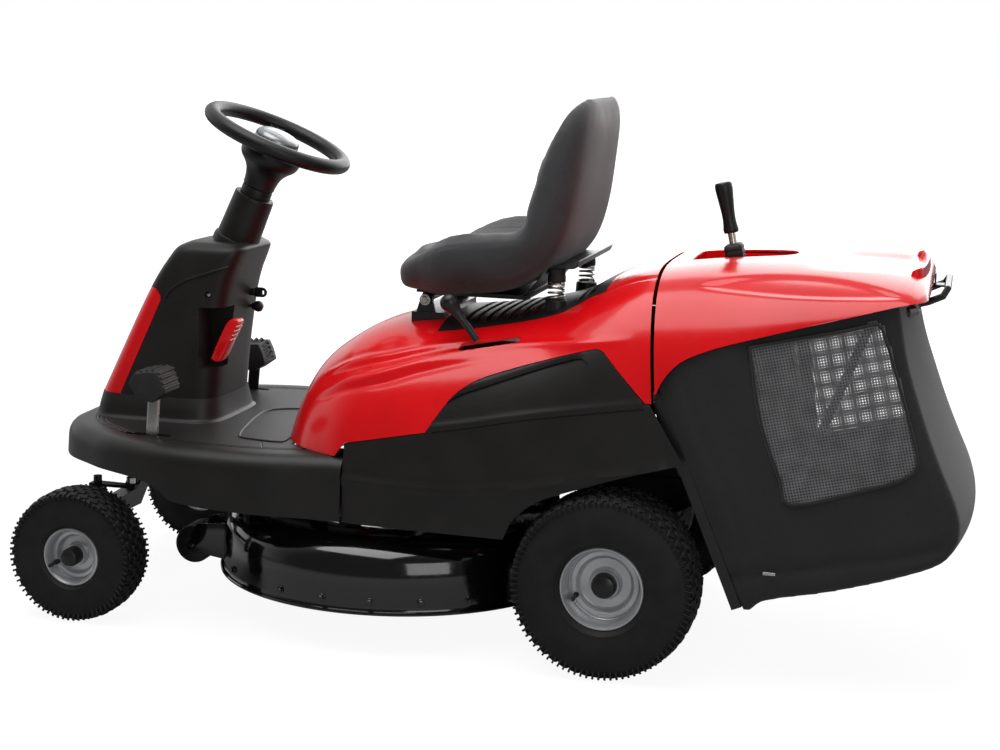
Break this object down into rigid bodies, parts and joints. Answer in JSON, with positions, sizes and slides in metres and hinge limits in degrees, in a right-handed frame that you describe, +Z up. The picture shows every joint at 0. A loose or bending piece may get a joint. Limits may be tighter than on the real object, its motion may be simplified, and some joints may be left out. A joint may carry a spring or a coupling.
{
  "type": "riding lawn mower",
  "caption": "Rear-engine riding lawn mower with a round mid cutting deck, tipping rear grass collector, bucket seat, steering column and pedals.",
  "frame": {"origin": "on the ground, below the centre of the machine's bounding box", "axes": "+X towards the rear, +Y towards the machine's right-hand side, +Z up"},
  "size_m": [1.954, 0.7924, 1.1165],
  "materials": {
    "red_plastic": "gloss",
    "charcoal_plastic": "satin grained",
    "tank_plastic": "translucent white, modelled opaque",
    "black_steel": "gloss black paint",
    "silver_steel": "silver paint",
    "silver_plastic": "silver lacquer",
    "zinc_steel": "bright zinc",
    "tyre_rubber": "matt",
    "belt_rubber": "matt",
    "seat_vinyl": "soft vinyl",
    "bag_fabric": "coated woven",
    "cast_metal": "cast"
  },
  "bodies": {
    "chassis": {"frame_rail_left": "black_steel", "frame_rail_right": "black_steel", "engine_plate": "black_steel", "rear_plate": "black_steel", "front_bracket": "black_steel", "steering_bracket": "black_steel", "footplate": "charcoal_plastic", "steering_console": "charcoal_plastic", "front_cowl": "red_plastic", "column_sleeve": "charcoal_plastic", "engine_hood": "red_plastic", "side_panel_left": "charcoal_plastic", "side_panel_right": "charcoal_plastic", "seat_grille": "charcoal_plastic", "seat_hinge": "black_steel", "engine_block": "cast_metal", "fuel_tank": "tank_plastic", "battery": "charcoal_plastic", "transaxle": "cast_metal", "discharge_chute": "charcoal_plastic", "blade_belt": "belt_rubber"},
    "steering": {"steering_wheel": "charcoal_plastic", "steering_wheel_cap": "silver_plastic", "steering_shaft": "zinc_steel"},
    "sector": {"steering_sector": "zinc_steel"},
    "axle": {"front_axle": "black_steel"},
    "left_spindle": {"spindle_left": "black_steel"},
    "right_spindle": {"spindle_right": "black_steel"},
    "steer_rod": {"tie_rod": "zinc_steel"},
    "front_wheel_left": {"front_tyre_left": "tyre_rubber", "front_rim_left": "silver_steel"},
    "front_wheel_right": {"front_tyre_right": "tyre_rubber", "front_rim_right": "silver_steel"},
    "rear_wheel_left": {"rear_tyre_left": "tyre_rubber", "rear_rim_left": "silver_steel"},
    "rear_wheel_right": {"rear_tyre_right": "tyre_rubber", "rear_rim_right": "silver_steel"},
    "brake": {"brake_pedal": "black_steel"},
    "drive": {"drive_pedal": "black_steel"},
    "engage_lever": {"blade_lever": "red_plastic"},
    "key": {"ignition_key": "charcoal_plastic"},
    "choke": {"choke_knob": "charcoal_plastic"},
    "height_control": {"height_lever": "black_steel"},
    "lift_link": {"lift_rod": "zinc_steel"},
    "rear_lift": {"rear_lift_shaft": "black_steel"},
    "front_lift": {"front_lift_shaft": "black_steel"},
    "deck": {"cutting_deck": "black_steel"},
    "cutter": {"blade": "zinc_steel", "blade_spindle": "zinc_steel"},
    "drive_pulley": {"engine_pulley": "zinc_steel"},
    "roller": {"deck_roller": "charcoal_plastic"},
    "seat_swing": {"seat": "seat_vinyl", "seat_bracket": "black_steel", "seat_spring_left": "zinc_steel", "seat_spring_right": "zinc_steel"},
    "collector": {"collector_cover": "red_plastic", "collector_frame": "black_steel", "collector_mouth": "black_steel", "grass_bag": "bag_fabric"},
    "tipping_lever": {"tip_lever": "charcoal_plastic"}
  },
  "joints": [
    {"name": "steering_turn", "type": "hinge", "parent": "chassis", "child": "steering", "pos_m": [-0.794, 0, 0.36], "axis": [0.3859, 0, 0.9225], "range_deg": [-105, 105]},
    {"name": "sector_turn", "type": "hinge", "parent": "chassis", "child": "sector", "pos_m": [-0.67592, 0, 0.3106], "axis": [0.3859, 0, 0.9225], "range_deg": [-35, 35]},
    {"name": "axle_rock", "type": "hinge", "parent": "chassis", "child": "axle", "pos_m": [-0.837, 0, 0.283], "axis": [1, 0, 0], "range_deg": [-6, 6]},
    {"name": "left_spindle_turn", "type": "hinge", "parent": "axle", "child": "left_spindle", "pos_m": [-0.837, -0.245, 0.283], "axis": [0, 0, 1], "range_deg": [-35, 35]},
    {"name": "right_spindle_turn", "type": "hinge", "parent": "axle", "child": "right_spindle", "pos_m": [-0.837, 0.245, 0.283], "axis": [0, 0, 1], "range_deg": [-35, 35]},
    {"name": "tie_rod_turn", "type": "hinge", "parent": "left_spindle", "child": "steer_rod", "pos_m": [-0.757, -0.245, 0.283], "axis": [0, 0, 1], "range_deg": [-35, 35]},
    {"name": "front_left_roll", "type": "hinge", "parent": "left_spindle", "child": "front_wheel_left", "pos_m": [-0.837, -0.332, 0.14], "axis": [0, 1, 0], "continuous": true},
    {"name": "front_right_roll", "type": "hinge", "parent": "right_spindle", "child": "front_wheel_right", "pos_m": [-0.837, 0.332, 0.14], "axis": [0, 1, 0], "continuous": true},
    {"name": "rear_left_roll", "type": "hinge", "parent": "chassis", "child": "rear_wheel_left", "pos_m": [0.286, -0.32, 0.184], "axis": [0, 1, 0], "continuous": true},
    {"name": "rear_right_roll", "type": "hinge", "parent": "chassis", "child": "rear_wheel_right", "pos_m": [0.286, 0.32, 0.184], "axis": [0, 1, 0], "continuous": true},
    {"name": "brake_press", "type": "hinge", "parent": "chassis", "child": "brake", "pos_m": [-0.699, -0.278, 0.338], "axis": [0, -1, 0], "range_deg": [0, 25], "stiffness_Nm_per_rad": 8, "springref_deg": -17.19},
    {"name": "drive_press", "type": "hinge", "parent": "chassis", "child": "drive", "pos_m": [-0.699, 0.278, 0.338], "axis": [0, -1, 0], "range_deg": [0, 25], "stiffness_Nm_per_rad": 8, "springref_deg": -17.19},
    {"name": "blade_engage", "type": "hinge", "parent": "chassis", "child": "engage_lever", "pos_m": [-0.626, -0.085, 0.532], "axis": [0, 1, 0], "range_deg": [0, 35]},
    {"name": "key_turn", "type": "hinge", "parent": "chassis", "child": "key", "pos_m": [-0.6, 0.04, 0.658], "axis": [1, 0, 0], "range_deg": [0, 60]},
    {"name": "choke_pull", "type": "slide", "parent": "chassis", "child": "choke", "axis": [1, 0, 0], "range_m": [0, 0.03]},
    {"name": "height_set", "type": "hinge", "parent": "chassis", "child": "height_control", "pos_m": [0.096, -0.262, 0.51], "axis": [0, 1, 0], "range_deg": [0, 22.6], "deforming": ["blade_belt"]},
    {"name": "lift_link_turn", "type": "hinge", "parent": "height_control", "child": "lift_link", "pos_m": [0.05828, -0.2525, 0.55666], "axis": [0, 1, 0], "range_deg": [-22.6, 0]},
    {"name": "rear_lift_turn", "type": "hinge", "parent": "chassis", "child": "rear_lift", "pos_m": [-0.174, 0, 0.3], "axis": [0, 1, 0], "range_deg": [0, 22.6], "deforming": ["blade_belt"]},
    {"name": "front_lift_turn", "type": "hinge", "parent": "chassis", "child": "front_lift", "pos_m": [-0.514, 0, 0.3], "axis": [0, 1, 0], "range_deg": [0, 22.6], "deforming": ["blade_belt"]},
    {"name": "deck_level", "type": "hinge", "parent": "front_lift", "child": "deck", "pos_m": [-0.38639, 0, 0.32481], "axis": [0, 1, 0], "range_deg": [-22.6, 0], "deforming": ["blade_belt"]},
    {"name": "blade_spin", "type": "hinge", "parent": "deck", "child": "cutter", "pos_m": [-0.234, 0, 0.2], "axis": [0, 0, 1], "continuous": true},
    {"name": "pulley_spin", "type": "hinge", "parent": "chassis", "child": "drive_pulley", "pos_m": [0.066, 0, 0.28], "axis": [0, 0, 1], "continuous": true},
    {"name": "roller_spin", "type": "hinge", "parent": "deck", "child": "roller", "pos_m": [-0.654, -0.13, 0.13], "axis": [0, 1, 0], "continuous": true},
    {"name": "seat_lift", "type": "hinge", "parent": "chassis", "child": "seat_swing", "pos_m": [-0.149, 0, 0.69], "axis": [0, -1, 0], "range_deg": [0, 42]},
    {"name": "collector_tip", "type": "hinge", "parent": "chassis", "child": "collector", "pos_m": [0.406, 0, 0.735], "axis": [0, -1, 0], "range_deg": [0, 75]},
    {"name": "lever_draw", "type": "slide", "parent": "collector", "child": "tipping_lever", "axis": [-0.2147, 0, 0.9767], "range_m": [0, 0.2]}
  ],
  "couplings": [
    {"joint": "sector_turn", "follows": "steering_turn", "ratio": -0.33333},
    {"joint": "left_spindle_turn", "follows": "steering_turn", "ratio": 0.33333},
    {"joint": "right_spindle_turn", "follows": "steering_turn", "ratio": 0.33333},
    {"joint": "tie_rod_turn", "follows": "steering_turn", "ratio": -0.33333},
    {"joint": "lift_link_turn", "follows": "height_set", "ratio": -1},
    {"joint": "rear_lift_turn", "follows": "height_set", "ratio": 1},
    {"joint": "front_lift_turn", "follows": "height_set", "ratio": 1},
    {"joint": "deck_level", "follows": "height_set", "ratio": -1},
    {"joint": "pulley_spin", "follows": "blade_spin", "ratio": 1}
  ]
}
